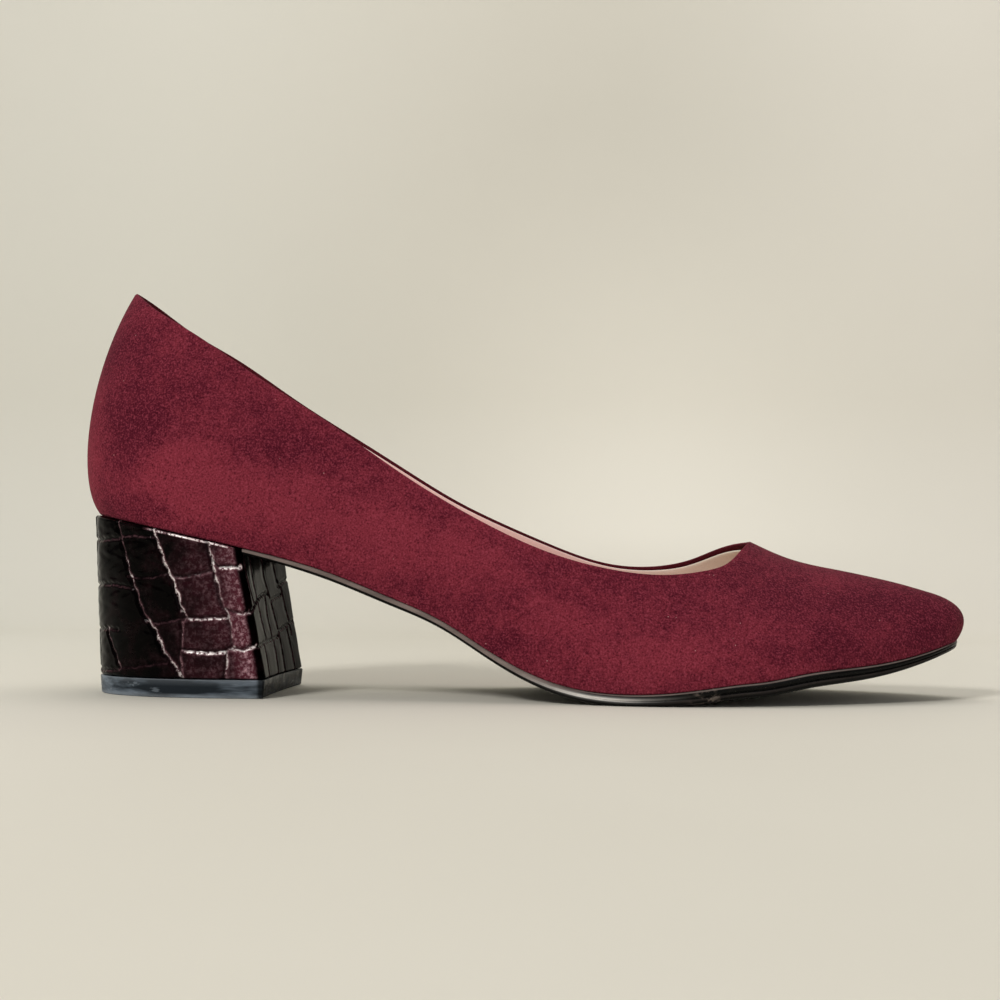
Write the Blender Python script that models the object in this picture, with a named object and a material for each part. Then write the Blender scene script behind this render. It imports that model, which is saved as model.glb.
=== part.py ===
# Block heel pump, right shoe, about size 38.
# Working axes: X from the back of the counter to the toe, Y towards the inner side of the foot,
# Z up from the floor. At the end the whole shoe is shifted so that its box stands centred on X and Y.

from collections import namedtuple

import bmesh
import bpy
import numpy as np

# Driving sizes in metres
SHOE_LENGTH = 0.2475
BALL_WIDTH = 0.0748
BALL_SOLE = 0.0029
SEAT_RISE = 0.0473
TOE_SPRING = 0.0136
INSTEP_HEIGHT = 0.0374
BACK_HEIGHT = 0.0645
TOE_SLOPE = 0.22

# Tolerances: rounding error, welding distance, step for a direction as a share of the girth,
# rounds of halving in a search, and the angle above which an edge stays sharp
TINY = 1e-9
WELD = 1e-6
DIRECTION_STEP = 1e-4
HALVINGS = 50
SHARP_ANGLE = 0.9

# Thicknesses and the clearance between neighbouring pieces
UPPER_WALL = 0.0018
INSOLE_THICKNESS = 0.0025
CLEARANCE = 0.0003

# Heel block and lift
HEEL_REACH = 0.0505
HEEL_PROUD = 0.0013
HEEL_BACK_LEAN = 0.0021
HEEL_BREAST_LEAN = 0.0066
HEEL_FOOT_SHARE = 0.94
HEEL_CORNER = 0.003
BREAST_HOLLOW = 0.0008
LIFT_HEIGHT = 0.0052
LIFT_CORNER = 0.0008
LIFT_TAPER = 0.0004

# Outsole edge
RAND_OUTSET = 0.0006

# Mesh steps of the heel, and the shortest edge left beside a cut
HEEL_LEVELS = 6
BREAST_STEPS = 6
CORNER_STEPS = 4
SHORT_EDGE = 0.001

# One row for each section of the last, from the back of the heel to the toe tip.
# along and ridge_at are shares of the length; lateral and medial are half widths and ridge_in is the
# ridge's shift to the inner side, as shares of the ball width; seat and spring are shares of the seat
# rise and the toe spring; ridge is a share of the instep height; rise is a share of the height from
# feather line to ridge; outer_bulge and inner_bulge are shares of the ball width; crown is a share of
# the plan distance from ridge to feather line; outer_top and inner_top are shares of the collar
# height; cuts is the number of mesh steps up to the next row.
Row = namedtuple(
    "Row",
    "along lateral medial seat spring ridge_at ridge_in ridge rise"
    " outer_bulge inner_bulge crown outer_top inner_top cuts",
)
SECTIONS = [
    Row(0.0174, 0.000, 0.000, 1.000, 0.00, 0.2036, 0.000, 2.385, 0.152, 0.168, 0.168, 0.95, 1.003, 1.003, 4),
    Row(0.0295, 0.175, 0.175, 0.985, 0.00, 0.2053, 0.000, 2.380, 0.156, 0.147, 0.147, 0.94, 0.990, 0.990, 4),
    Row(0.0663, 0.297, 0.294, 0.947, 0.00, 0.2121, 0.000, 2.321, 0.170, 0.100, 0.100, 0.93, 0.945, 0.945, 4),
    Row(0.1265, 0.361, 0.357, 0.879, 0.00, 0.2303, 0.000, 2.206, 0.190, 0.067, 0.070, 0.93, 0.900, 0.906, 4),
    Row(0.2069, 0.369, 0.356, 0.786, 0.00, 0.2667, 0.007, 2.056, 0.210, 0.053, 0.061, 0.93, 0.817, 0.821, 5),
    Row(0.2998, 0.350, 0.310, 0.651, 0.00, 0.3232, 0.013, 1.880, 0.240, 0.056, 0.080, 0.96, 0.732, 0.739, 5),
    Row(0.3636, 0.354, 0.283, 0.520, 0.00, 0.3737, 0.019, 1.791, 0.260, 0.056, 0.096, 0.96, 0.680, 0.706, 4),
    Row(0.4202, 0.373, 0.279, 0.393, 0.00, 0.4263, 0.024, 1.738, 0.275, 0.053, 0.099, 0.93, 0.652, 0.692, 4),
    Row(0.4768, 0.401, 0.302, 0.214, 0.00, 0.4788, 0.028, 1.751, 0.290, 0.047, 0.088, 0.88, 0.698, 0.761, 4),
    Row(0.5341, 0.436, 0.353, 0.070, 0.00, 0.5341, 0.033, 1.719, 0.310, 0.037, 0.060, 0.78, 0.742, 0.813, 5),
    Row(0.6028, 0.480, 0.439, 0.004, 0.00, 0.6028, 0.033, 1.561, 0.310, 0.032, 0.037, 0.62, 0.750, 0.801, 4),
    Row(0.6634, 0.499, 0.493, 0.000, 0.04, 0.6634, 0.033, 1.364, 0.310, 0.029, 0.027, 0.52, 0.748, 0.816, 3),
    Row(0.7079, 0.495, 0.499, 0.000, 0.14, 0.7079, 0.033, 1.198, 0.310, 0.025, 0.021, 0.47, 0.778, 0.874, 3),
    Row(0.7362, 0.483, 0.492, 0.000, 0.21, 0.7362, 0.032, 1.091, 0.310, 0.021, 0.019, 0.46, 0.845, 0.947, 5),
    Row(0.7628, 0.467, 0.480, 0.000, 0.26, 0.7628, 0.031, 0.991, 0.310, 0.019, 0.016, 0.45, 0.992, 0.992, 3),
    Row(0.8048, 0.433, 0.449, 0.000, 0.40, 0.8016, 0.027, 0.824, 0.310, 0.017, 0.015, 0.49, 0.987, 0.960, 3),
    Row(0.8695, 0.348, 0.364, 0.000, 0.53, 0.8598, 0.021, 0.682, 0.310, 0.016, 0.013, 0.57, 1.000, 1.000, 3),
    Row(0.9261, 0.258, 0.270, 0.000, 0.70, 0.9042, 0.016, 0.559, 0.250, 0.013, 0.013, 0.70, 1.000, 1.000, 3),
    Row(0.9657, 0.176, 0.186, 0.000, 0.89, 0.9321, 0.012, 0.444, 0.150, 0.012, 0.012, 0.95, 1.000, 1.000, 3),
    Row(0.9855, 0.099, 0.107, 0.000, 0.99, 0.9471, 0.009, 0.377, 0.080, 0.009, 0.009, 1.40, 1.000, 1.000, 3),
    Row(0.9919, 0.000, 0.000, 0.000, 1.03, 0.9519, 0.008, 0.353, 0.050, 0.009, 0.009, 1.80, 1.000, 1.000, 0),
]
THROAT_ROW = 14

# Shares of the way from feather line to collar at which the wall has its rings of points
WALL_LEVELS = (0.0, 0.05, 0.12, 0.22, 0.35, 0.50, 0.66, 0.82, 1.0)

# Sole thickness along the shoe as a share of the ball sole, and how far the rand and groove show
SoleRow = namedtuple("SoleRow", "along thickness step")
SOLE_ROWS = [
    SoleRow(0.20, 0.42, 0.0),
    SoleRow(0.28, 0.60, 0.0),
    SoleRow(0.38, 0.66, 0.0),
    SoleRow(0.48, 0.72, 0.1),
    SoleRow(0.56, 0.90, 0.5),
    SoleRow(0.64, 1.06, 1.0),
    SoleRow(0.72, 1.14, 1.0),
    SoleRow(0.80, 1.22, 1.0),
    SoleRow(0.88, 1.08, 1.0),
    SoleRow(0.95, 0.80, 0.8),
    SoleRow(1.00, 0.66, 0.6),
]

# Edge of the sole from its top to its tread: share of the thickness, and outset from the feather line
# as a share of the rand outset, without and with the groove
EdgeRow = namedtuple("EdgeRow", "depth plain stepped")
EDGE_ROWS = [
    EdgeRow(0.00, -0.4, 0.5),
    EdgeRow(0.12, 0.2, 1.0),
    EdgeRow(0.36, 0.4, 1.0),
    EdgeRow(0.44, 0.4, 0.0),
    EdgeRow(0.52, 0.4, 0.7),
    EdgeRow(0.84, 0.1, 0.5),
    EdgeRow(1.00, -0.8, -0.6),
]


def smooth_curve(knots, values, period=None):
    """Cubic spline through values at knots: natural at its ends, or closed with a period."""
    knots = np.asarray(knots, float)
    values = np.asarray(values, float)
    if period is not None:
        knots = np.append(knots, knots[0] + period)
        values = np.append(values, values[0])
    count = len(knots)
    step = np.diff(knots)
    slope = np.diff(values) / step
    matrix = np.zeros((count, count))
    right = np.zeros(count)
    for k in range(1, count - 1):
        matrix[k, k - 1] = step[k - 1]
        matrix[k, k] = 2 * (step[k - 1] + step[k])
        matrix[k, k + 1] = step[k]
        right[k] = 6 * (slope[k] - slope[k - 1])
    if period is None:
        matrix[0, 0] = 1
        matrix[-1, -1] = 1
    else:
        matrix[0, 0] = 2 * (step[-1] + step[0])
        matrix[0, 1] = step[0]
        matrix[0, -2] = step[-1]
        right[0] = 6 * (slope[0] - slope[-1])
        matrix[-1, 0] = 1
        matrix[-1, -1] = -1
    bend = np.linalg.solve(matrix, right)

    def curve(at):
        if period is not None:
            at = knots[0] + (at - knots[0]) % period
        k = int(min(max(np.searchsorted(knots, at) - 1, 0), count - 2))
        a = (knots[k + 1] - at) / step[k]
        b = 1 - a
        sag = (a**3 - a) * bend[k] + (b**3 - b) * bend[k + 1]
        return float(a * values[k] + b * values[k + 1] + sag * step[k] ** 2 / 6)

    return curve


class Last:
    """The outer form of the upper, read from the section table at any station round the feather line."""

    def __init__(self):
        knots = [0.0]
        for row, after in zip(SECTIONS, SECTIONS[1:]):
            dx = (after.along - row.along) * SHOE_LENGTH
            dy = (after.lateral + after.medial - row.lateral - row.medial) * BALL_WIDTH / 2
            knots.append(knots[-1] + float(np.hypot(dx, dy)))
        self.tip = knots[-1]
        self.throat = knots[THROAT_ROW]
        self.girth = 2 * self.tip
        self.knots = knots + [self.girth - k for k in knots[-2:0:-1]]
        outer = SECTIONS
        inner = SECTIONS[-2:0:-1]
        self.curves = {
            "x": self.fit([row.along for row in outer + inner]),
            "y": self.fit([-row.lateral for row in outer] + [row.medial for row in inner]),
            "bulge": self.fit([row.outer_bulge for row in outer] + [row.inner_bulge for row in inner]),
            "top": self.fit([row.outer_top for row in outer] + [row.inner_top for row in inner]),
        }
        for name in ("seat", "spring", "ridge_at", "ridge_in", "ridge", "rise", "crown"):
            self.curves[name] = self.fit([getattr(row, name) for row in outer + inner])

    def fit(self, values):
        return smooth_curve(self.knots, values, self.girth)

    def foot(self, u):
        """Point of the feather line at station u."""
        height = BALL_SOLE + self.curves["seat"](u) * SEAT_RISE + self.curves["spring"](u) * TOE_SPRING
        return np.array([self.curves["x"](u) * SHOE_LENGTH, self.curves["y"](u) * BALL_WIDTH, height])

    def outward(self, u):
        """Plan direction square to the feather line, away from the foot."""
        step = self.girth * DIRECTION_STEP
        along = self.foot(u + step) - self.foot(u - step)
        direction = np.array([along[1], -along[0], 0.0])
        return direction / np.linalg.norm(direction)

    def hull(self, u):
        """The four control points of the section from the feather line up to the ridge."""
        foot = self.foot(u)
        height = self.curves["ridge"](u) * INSTEP_HEIGHT
        ridge = np.array([
            self.curves["ridge_at"](u) * SHOE_LENGTH,
            self.curves["ridge_in"](u) * BALL_WIDTH,
            foot[2] + height,
        ])
        low = foot + self.outward(u) * self.curves["bulge"](u) * BALL_WIDTH
        low[2] += self.curves["rise"](u) * height
        reach = foot - ridge
        reach[2] = 0.0
        high = ridge + reach * self.curves["crown"](u)
        high[2] -= max(high[0] - ridge[0], 0.0) * TOE_SLOPE
        return foot, low, high, ridge

    def point(self, u, t):
        a, b, c, d = self.hull(u)
        return (1 - t) ** 3 * a + 3 * t * (1 - t) ** 2 * b + 3 * t * t * (1 - t) * c + t**3 * d

    def collar_height(self, u):
        """Height of the topline at station u."""
        foot = self.foot(u)
        forward = min(foot[0] / (SECTIONS[THROAT_ROW].along * SHOE_LENGTH), 1.0)
        size = BACK_HEIGHT + (INSTEP_HEIGHT - BACK_HEIGHT) * forward
        return foot[2] + self.curves["top"](u) * size

    def collar_share(self, u):
        """Share of the section at which the topline cuts it, or 1 where the vamp is closed."""
        if abs(u - self.tip) <= self.tip - self.throat + TINY:
            return 1.0
        height = self.collar_height(u)
        low, high = 0.0, 1.0
        for _ in range(HALVINGS):
            middle = (low + high) / 2
            if self.point(u, middle)[2] < height:
                low = middle
            else:
                high = middle
        return (low + high) / 2

    def outer_stations(self):
        """Stations of the outer side from the back to the toe tip; u and girth - u face each other."""
        found = []
        for row, start, end in zip(SECTIONS, self.knots, self.knots[1:]):
            for k in range(row.cuts):
                share = k / row.cuts
                if end == self.throat:
                    share = 1 - (1 - share) ** 2
                found.append(start + (end - start) * share)
        return found + [self.tip]

    def stations(self):
        """Stations round the whole feather line, outer side first."""
        outer = self.outer_stations()
        return outer + [self.girth - u for u in outer[-2:0:-1]]

    def station_at(self, along):
        """Outer station at a distance along the shoe."""
        low, high = 0.0, self.tip
        for _ in range(HALVINGS):
            middle = (low + high) / 2
            if self.foot(middle)[0] < along:
                low = middle
            else:
                high = middle
        return (low + high) / 2


def material(name, colour, roughness):
    made = bpy.data.materials.new(name)
    made.use_nodes = True
    shader = made.node_tree.nodes["Principled BSDF"]
    shader.inputs["Base Color"].default_value = (*colour, 1.0)
    shader.inputs["Roughness"].default_value = roughness
    made.diffuse_color = (*colour, 1.0)
    return made


def add_object(name, bm, look):
    """Make a named object from a bmesh whose faces are turned to point outwards."""
    bmesh.ops.recalc_face_normals(bm, faces=bm.faces)
    mesh = bpy.data.meshes.new(name)
    bm.to_mesh(mesh)
    bm.free()
    mesh.shade_smooth()
    mesh.set_sharp_from_angle(angle=SHARP_ANGLE)
    mesh.materials.append(look)
    made = bpy.data.objects.new(name, mesh)
    bpy.context.collection.objects.link(made)
    return made


def build_upper(last):
    """Open shell through the sections, given its wall by Solidify."""
    bm = bmesh.new()
    columns = []
    for u in last.stations():
        share = last.collar_share(u)
        columns.append([bm.verts.new(last.point(u, share * level)) for level in WALL_LEVELS])
    for k, column in enumerate(columns):
        after = columns[(k + 1) % len(columns)]
        for i in range(len(WALL_LEVELS) - 1):
            bm.faces.new((column[i], column[i + 1], after[i + 1], after[i]))
    bmesh.ops.remove_doubles(bm, verts=bm.verts, dist=WELD)
    upper = add_object("upper", bm, material("suede", (0.135, 0.018, 0.03), 0.9))
    wall = upper.modifiers.new("wall", "SOLIDIFY")
    wall.thickness = UPPER_WALL
    wall.offset = -1.0
    wall.use_even_offset = True
    return upper


def tube(rings):
    """Mesh with faces between rings of points one below the other, open at both ends."""
    bm = bmesh.new()
    made = [[bm.verts.new(p) for p in ring] for ring in rings]
    count = len(made[0])
    for upper_ring, lower_ring in zip(made, made[1:]):
        for k in range(count):
            after = (k + 1) % count
            bm.faces.new((upper_ring[k], upper_ring[after], lower_ring[after], lower_ring[k]))
    return bm, made


def slab(rings):
    """Closed body from rings of points, capped by strips between each ring's two sides."""
    bm, made = tube(rings)
    for ring in (made[0], made[-1]):
        low, high = 0, len(ring) - 1
        while high - low >= 2:
            if high - low == 2:
                bm.faces.new((ring[low], ring[low + 1], ring[high]))
            else:
                bm.faces.new((ring[low], ring[low + 1], ring[high - 1], ring[high]))
            low, high = low + 1, high - 1
    return bm


def build_outsole(last):
    start = last.station_at(HEEL_REACH + CLEARANCE)
    outer = [start] + [u for u in last.outer_stations() if u > start + SHORT_EDGE]
    loop = outer + [last.girth - u for u in outer[-2::-1]]
    along = [row.along for row in SOLE_ROWS]
    thickness = smooth_curve(along, [row.thickness for row in SOLE_ROWS])
    step = smooth_curve(along, [row.step for row in SOLE_ROWS])
    rings = []
    for edge in EDGE_ROWS:
        ring = []
        for u in loop:
            foot = last.foot(u)
            share = foot[0] / SHOE_LENGTH
            stepped = min(max(step(share), 0.0), 1.0)
            outset = RAND_OUTSET * (edge.plain * (1 - stepped) + edge.stepped * stepped)
            outward = last.outward(u)
            if u in (loop[0], loop[-1]):
                outward = np.array([0.0, np.sign(foot[1]), 0.0])
            point = foot + outward * outset
            point[2] = foot[2] - CLEARANCE - edge.depth * thickness(share) * BALL_SOLE
            point[2] = max(point[2], 0.0)
            ring.append(point)
        rings.append(ring)
    return add_object("outsole", slab(rings), material("sole", (0.012, 0.012, 0.013), 0.35))


def build_insole(last):
    """Board and sock in one, inside the wall for its whole length."""
    inset = UPPER_WALL + CLEARANCE
    stations = last.stations()
    rings = []
    for lift in (INSOLE_THICKNESS, 0.0):
        ring = []
        for u in stations:
            point = last.foot(u) - last.outward(u) * inset
            point[2] = last.foot(u)[2] + lift
            ring.append(point)
        rings.append(ring)
    bm, made = tube(rings)
    count = len(stations)
    for ring in made:
        for k in range(count // 2):
            ends = (ring[k], ring[k + 1], ring[count - k - 1], ring[(count - k) % count])
            corners = []
            for corner in ends:
                if corner not in corners:
                    corners.append(corner)
            bm.faces.new(corners)
    return add_object("insole", bm, material("sock", (0.72, 0.5, 0.42), 0.6))


def heel_plan(last, corner):
    """Plan outline of the heel at the seat: round the back, then across the breast.

    Returns the points, outer side first, and the seat's height at each."""
    end = last.station_at(HEEL_REACH - corner)
    outer = [u for u in last.outer_stations() if last.foot(u)[0] < HEEL_REACH - corner - SHORT_EDGE]
    outer.append(end)
    back = outer[::-1] + [last.girth - u for u in outer[1:]]
    points = [last.foot(u) + last.outward(u) * HEEL_PROUD for u in back]
    plan = [p[:2] for p in points]
    heights = [last.foot(u)[2] for u in back]
    start = HEEL_REACH - corner
    turns = [np.pi / 2 * k / CORNER_STEPS for k in range(1, CORNER_STEPS)]
    rounding = [(corner * np.sin(turn), corner * (1 - np.cos(turn))) for turn in turns]
    outer_y, inner_y = plan[0][1], plan[-1][1]
    front = [np.array([start + dx, inner_y - dy]) for dx, dy in rounding]
    for k in range(BREAST_STEPS + 1):
        share = k / BREAST_STEPS
        y = (inner_y - corner) * (1 - share) + (outer_y + corner) * share
        front.append(np.array([HEEL_REACH - BREAST_HOLLOW * 4 * share * (1 - share), y]))
    front += [np.array([start + dx, outer_y + dy]) for dx, dy in reversed(rounding)]
    heights += [last.foot(last.station_at(p[0]))[2] for p in front]
    return plan + front, heights


def at_heel_foot(last, point):
    """Where a plan point of the seat comes to at the bottom of the block."""
    back = last.foot(0.0)[0] - HEEL_PROUD
    reach = HEEL_REACH - back
    foot_reach = reach + HEEL_BREAST_LEAN - HEEL_BACK_LEAN
    return np.array([
        back + HEEL_BACK_LEAN + (point[0] - back) * foot_reach / reach,
        point[1] * HEEL_FOOT_SHARE,
    ])


def ringed_body(rings):
    """Closed body from rings of points one below the other, with flat or ruled ends."""
    bm, made = tube(rings)
    ends = [bm.faces.new(made[0]), bm.faces.new(made[-1])]
    bmesh.ops.triangulate(bm, faces=ends)
    return bm


def build_heel(last):
    """Block under the seat, ruled from the seat's line to a smaller foot."""
    plan, heights = heel_plan(last, HEEL_CORNER)
    top = [np.array([*p, height - CLEARANCE]) for p, height in zip(plan, heights)]
    bottom = [np.array([*at_heel_foot(last, p), LIFT_HEIGHT]) for p in plan]
    rings = []
    for k in range(HEEL_LEVELS + 1):
        share = k / HEEL_LEVELS
        rings.append([a * (1 - share) + b * share for a, b in zip(top, bottom)])
    return add_object("heel_block", ringed_body(rings), material("cover", (0.035, 0.012, 0.016), 0.25))


def build_lift(last):
    """Lift under the block, flush with it, with sharper corners."""
    plan = [at_heel_foot(last, p) for p in heel_plan(last, LIFT_CORNER)[0]]
    middle = sum(plan) / len(plan)
    rings = []
    for height, taper in ((LIFT_HEIGHT - CLEARANCE, 0.0), (0.0, LIFT_TAPER)):
        ring = []
        for p in plan:
            arm = p - middle
            shrunk = middle + arm * (1 - taper / np.linalg.norm(arm))
            ring.append(np.array([*shrunk, height]))
        rings.append(ring)
    return add_object("top_lift", ringed_body(rings), material("lift", (0.03, 0.032, 0.036), 0.4))


def centre_on_box(objects):
    """Parent everything to an empty that shifts the shoe's box to stand centred on the origin."""
    bpy.context.view_layer.update()
    graph = bpy.context.evaluated_depsgraph_get()
    corners = []
    for made in objects:
        shape = made.evaluated_get(graph).to_mesh()
        points = np.array([v.co for v in shape.vertices])
        corners.append((points.min(axis=0), points.max(axis=0)))
    low = np.min([c[0] for c in corners], axis=0)
    high = np.max([c[1] for c in corners], axis=0)
    root = bpy.data.objects.new("shoe", None)
    bpy.context.collection.objects.link(root)
    root.location = (-(low[0] + high[0]) / 2, -(low[1] + high[1]) / 2, -low[2])
    for made in objects:
        made.parent = root
    bpy.context.view_layer.update()


for leftover in list(bpy.data.objects):
    bpy.data.objects.remove(leftover, do_unlink=True)

last = Last()
shoe = [build_upper(last), build_outsole(last), build_insole(last)]
shoe += [build_heel(last), build_lift(last)]
centre_on_box(shoe)
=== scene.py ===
from collections import namedtuple

import bpy
import numpy as np
from mathutils import Matrix, Vector


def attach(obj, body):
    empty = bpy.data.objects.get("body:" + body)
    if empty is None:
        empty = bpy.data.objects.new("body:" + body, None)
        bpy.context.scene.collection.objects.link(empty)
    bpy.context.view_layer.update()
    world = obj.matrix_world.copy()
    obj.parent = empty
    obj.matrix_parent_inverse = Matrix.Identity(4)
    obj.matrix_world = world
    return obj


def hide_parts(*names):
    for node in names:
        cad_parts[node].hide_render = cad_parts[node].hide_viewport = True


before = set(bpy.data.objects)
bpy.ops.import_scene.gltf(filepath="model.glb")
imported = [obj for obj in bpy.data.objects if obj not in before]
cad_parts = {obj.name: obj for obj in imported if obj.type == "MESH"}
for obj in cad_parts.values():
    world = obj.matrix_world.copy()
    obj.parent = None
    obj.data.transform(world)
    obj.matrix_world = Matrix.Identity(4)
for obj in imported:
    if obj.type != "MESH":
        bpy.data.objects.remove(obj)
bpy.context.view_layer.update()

# Working axes, in metres: X from the back of the counter to the toe, Y towards the inner side of the
# foot, Z up from the floor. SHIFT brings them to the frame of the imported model.
SHIFT = np.array([-0.123748, -0.000012, 0.0])

# Driving sizes
SHOE_LENGTH = 0.2475
BALL_WIDTH = 0.0748
BALL_SOLE = 0.0029
SEAT_RISE = 0.0473
TOE_SPRING = 0.0136
INSTEP_HEIGHT = 0.0374
BACK_HEIGHT = 0.0645
TOE_SLOPE = 0.22

# Upper: depth of the lining below the suede, radius of the folded edge, how far the turned-in band
# runs, how far below the fold the lining starts, with what is added to that at the throat, and the
# radius of the lining's lip. Beside the ball the lining rises by a share of the throat's drop; the
# place and reach of that rise are shares of the way to the throat. Then how far the suede is tucked
# in under the foot, and how dark the shaded side of its folded edge is.
LINING_DEPTH = 0.0018
FOLD_RADIUS = 0.00065
BAND_LENGTH = 0.0036
BAND_SHARES = (0.12, 0.45, 1.0)
LINING_DROP = 0.00036
THROAT_DROP = 0.0011
LIP_RADIUS = 0.00025
LIP_CUTS = 4
BALL_RISE = 0.26
BALL_AT = 0.80
BALL_REACH = 0.12
TUCK_WIDTH = 0.0018
EDGE_SHADE = 0.75
INSOLE_THICKNESS = 0.0025
CLEARANCE = 0.0003

# Sock: its gap to the lining, mesh steps across and along, and how its edge cups up and turns down
SOCK_GAP = 0.00005
SOCK_STEPS = 24
SOCK_STATIONS = 170
SOCK_CUP = 0.0006
SOCK_TURN = 0.0004

# Heel block and lift
HEEL_REACH = 0.0505
HEEL_PROUD = 0.0013
HEEL_BACK_LEAN = 0.0021
HEEL_BREAST_LEAN = 0.0066
HEEL_FOOT_SHARE = 0.94
HEEL_CORNER = 0.003
BREAST_HOLLOW = 0.0008
LIFT_HEIGHT = 0.0052
LIFT_CORNER = 0.0008
LIFT_TAPER = 0.0004

# Outsole edge
RAND_OUTSET = 0.0006

# How far the sole's edge runs in under the toe tip, with the share of the length at which that starts
# and the share over which it comes in, and how wide the tread shows under the edge
TOE_TUCK = 0.0006
TOE_TUCK_START = 0.95
TOE_TUCK_FADE = 0.04
TREAD_WIDTH = 0.004

# Wear and painted highlights on the sole's edge, as shares of the shoe's length: middle and reach of the
# rubbed place, where the painted shine of the waist ends and the painted lines of the rand and the groove
# start, and the painted glare's middle and reach; as shares of the sole's thickness: the shine's top and
# bottom, how tall a line is, the groove's place and the glare's middle and half height. Then the part of
# the length that the tread's ribs take.
RUB_AT, RUB_REACH = 0.702, 0.012
SHINE_END, SHINE_FADE = 0.58, 0.05
RAND_START, GROOVE_START, START_FADE = 0.54, 0.64, 0.04
GLARE_AT, GLARE_REACH = 0.585, 0.050
SHINE_TOP, SHINE_BOTTOM, LINE_TALL, GROOVE_AT = -0.09, 0.56, 0.03, 0.60
GROOVE_SHINE = 0.15
GLARE_DEPTH, GLARE_TALL = 0.40, 0.16
RIBS_START, RIBS_END, RIBS_FADE = 0.56, 0.955, 0.01

# Mesh spacing
SUEDE_SPACING = 0.0013
SUEDE_LEVELS = 60
LINING_SPACING = 0.0018
LINING_LEVELS = 40
THROAT_ZONE = 0.012
THROAT_CUTS = 24
FOLD_CUTS = 7
SIDE_STEPS = 400
CORNER_STEPS = 14
BREAST_STEPS = 80
COVER_SPACING = 0.00034
COVER_LEVELS = 150
LIFT_SPACING = 0.0008

# Tolerances
TINY = 1e-9
DIRECTION_STEP = 2e-4
HALVINGS = 50

# One row for each section of the last, from the back of the heel to the toe tip.
# along and ridge_at are shares of the length; lateral and medial are half widths and ridge_in is the
# ridge's shift to the inner side, as shares of the ball width; seat and spring are shares of the seat
# rise and the toe spring; ridge is a share of the instep height; rise is a share of the height from
# feather line to ridge; outer_bulge and inner_bulge are shares of the ball width; crown is a share of
# the plan distance from ridge to feather line; outer_top and inner_top are shares of the collar height.
Row = namedtuple(
    "Row",
    "along lateral medial seat spring ridge_at ridge_in ridge rise"
    " outer_bulge inner_bulge crown outer_top inner_top",
)
SECTIONS = [
    Row(0.0174, 0.000, 0.000, 1.000, 0.00, 0.2036, 0.000, 2.385, 0.152, 0.168, 0.168, 0.95, 1.003, 1.003),
    Row(0.0295, 0.175, 0.175, 0.985, 0.00, 0.2053, 0.000, 2.380, 0.156, 0.147, 0.147, 0.94, 0.990, 0.990),
    Row(0.0663, 0.297, 0.294, 0.947, 0.00, 0.2121, 0.000, 2.321, 0.170, 0.100, 0.100, 0.93, 0.945, 0.945),
    Row(0.1265, 0.361, 0.357, 0.879, 0.00, 0.2303, 0.000, 2.206, 0.190, 0.067, 0.070, 0.93, 0.900, 0.906),
    Row(0.2069, 0.369, 0.356, 0.786, 0.00, 0.2667, 0.007, 2.056, 0.210, 0.053, 0.061, 0.93, 0.817, 0.821),
    Row(0.2998, 0.350, 0.310, 0.651, 0.00, 0.3232, 0.013, 1.880, 0.240, 0.056, 0.080, 0.96, 0.732, 0.739),
    Row(0.3636, 0.354, 0.283, 0.520, 0.00, 0.3737, 0.019, 1.791, 0.260, 0.056, 0.096, 0.96, 0.680, 0.706),
    Row(0.4202, 0.373, 0.279, 0.393, 0.00, 0.4263, 0.024, 1.738, 0.275, 0.053, 0.099, 0.93, 0.652, 0.692),
    Row(0.4768, 0.401, 0.302, 0.214, 0.00, 0.4788, 0.028, 1.751, 0.290, 0.047, 0.088, 0.88, 0.698, 0.761),
    Row(0.5341, 0.436, 0.353, 0.070, 0.00, 0.5341, 0.033, 1.719, 0.310, 0.037, 0.060, 0.78, 0.742, 0.813),
    Row(0.6028, 0.480, 0.439, 0.004, 0.00, 0.6028, 0.033, 1.561, 0.310, 0.032, 0.037, 0.62, 0.750, 0.801),
    Row(0.6634, 0.499, 0.493, 0.000, 0.04, 0.6634, 0.033, 1.364, 0.310, 0.029, 0.027, 0.52, 0.748, 0.816),
    Row(0.7079, 0.495, 0.499, 0.000, 0.14, 0.7079, 0.033, 1.198, 0.310, 0.025, 0.021, 0.47, 0.778, 0.874),
    Row(0.7362, 0.483, 0.492, 0.000, 0.21, 0.7362, 0.032, 1.091, 0.310, 0.021, 0.019, 0.46, 0.845, 0.947),
    Row(0.7628, 0.467, 0.480, 0.000, 0.26, 0.7628, 0.031, 0.991, 0.310, 0.019, 0.016, 0.45, 0.992, 0.992),
    Row(0.8048, 0.433, 0.449, 0.000, 0.40, 0.8016, 0.027, 0.824, 0.310, 0.017, 0.015, 0.49, 0.987, 0.960),
    Row(0.8695, 0.348, 0.364, 0.000, 0.53, 0.8598, 0.021, 0.682, 0.310, 0.016, 0.013, 0.57, 1.000, 1.000),
    Row(0.9261, 0.258, 0.270, 0.000, 0.70, 0.9042, 0.016, 0.559, 0.250, 0.013, 0.013, 0.70, 1.000, 1.000),
    Row(0.9657, 0.176, 0.186, 0.000, 0.89, 0.9321, 0.012, 0.444, 0.150, 0.012, 0.012, 0.95, 1.000, 1.000),
    Row(0.9855, 0.099, 0.107, 0.000, 0.99, 0.9471, 0.009, 0.377, 0.080, 0.009, 0.009, 1.40, 1.000, 1.000),
    Row(0.9919, 0.000, 0.000, 0.000, 1.03, 0.9519, 0.008, 0.353, 0.050, 0.009, 0.009, 1.80, 1.000, 1.000),
]
THROAT_ROW = 14

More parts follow.
